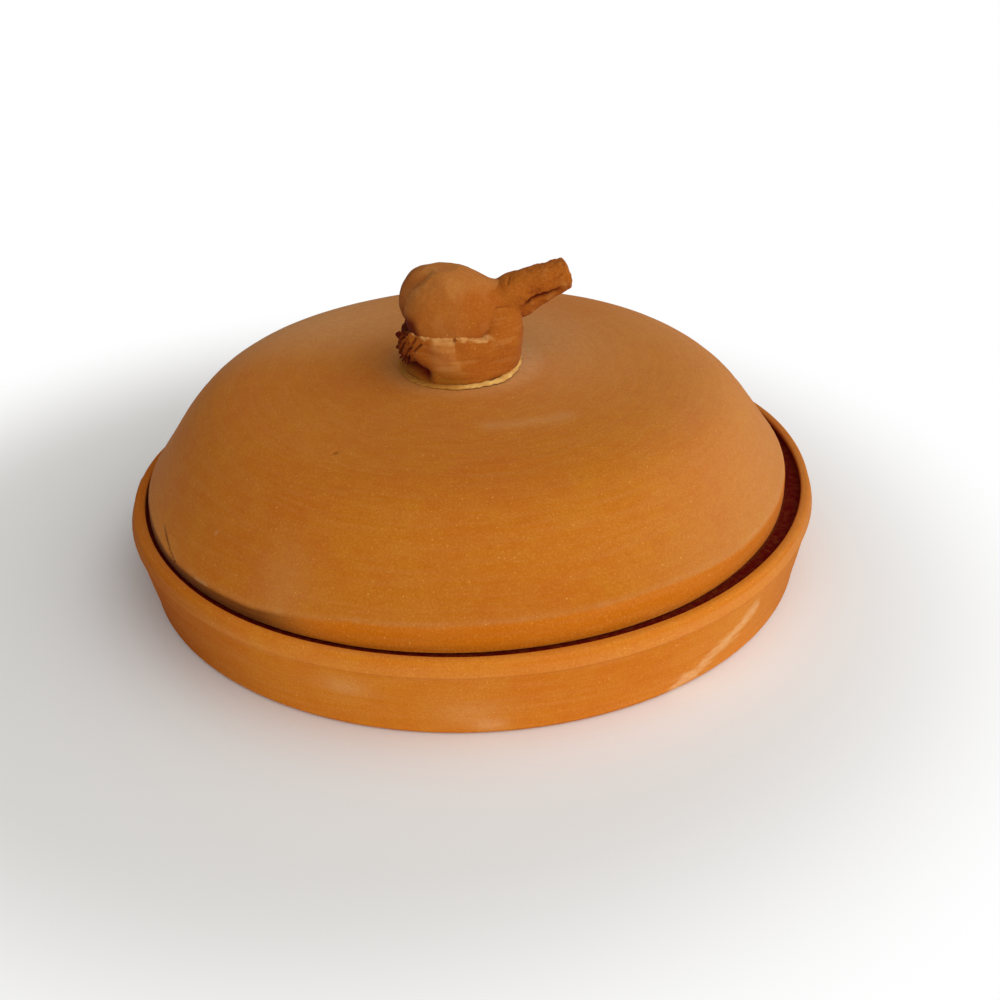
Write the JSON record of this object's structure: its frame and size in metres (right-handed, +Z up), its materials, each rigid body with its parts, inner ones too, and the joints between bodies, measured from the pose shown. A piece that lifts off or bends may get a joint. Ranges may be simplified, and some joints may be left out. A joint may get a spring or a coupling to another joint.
{
  "type": "garlic roaster",
  "caption": "Round terracotta garlic roaster: a shallow dish with a gallery inside its rim, a loose domed lid that lifts off, and a knob modelled as a garlic bulb with its stem.",
  "frame": {"origin": "middle of the dish's flat underside", "axes": "+Z up along the dish's axis, +X towards the garlic stem's end, +Y to the back of the picture"},
  "size_m": [0.21, 0.21, 0.0913],
  "materials": {
    "dish_terracotta": "matte unglazed fired clay, fine turning lines",
    "lid_terracotta": "matte unglazed fired clay, fine turning lines and pale specks",
    "knob_terracotta": "matte unglazed fired clay, hand-modelled",
    "pale_slip": "dry brushed slip, paler and rougher than the body"
  },
  "bodies": {
    "dish": {"dish": "dish_terracotta"},
    "lid": {"lid_dome": "lid_terracotta", "knob_base": "knob_terracotta", "slip_ring": "pale_slip", "garlic_bulb": "knob_terracotta", "garlic_stem": "knob_terracotta", "root_tuft": "knob_terracotta"}
  },
  "joints": [
    {"name": "lid_lift", "type": "slide", "parent": "dish", "child": "lid", "axis": [0, 0, 1], "range_m": [0, 0.15]}
  ]
}
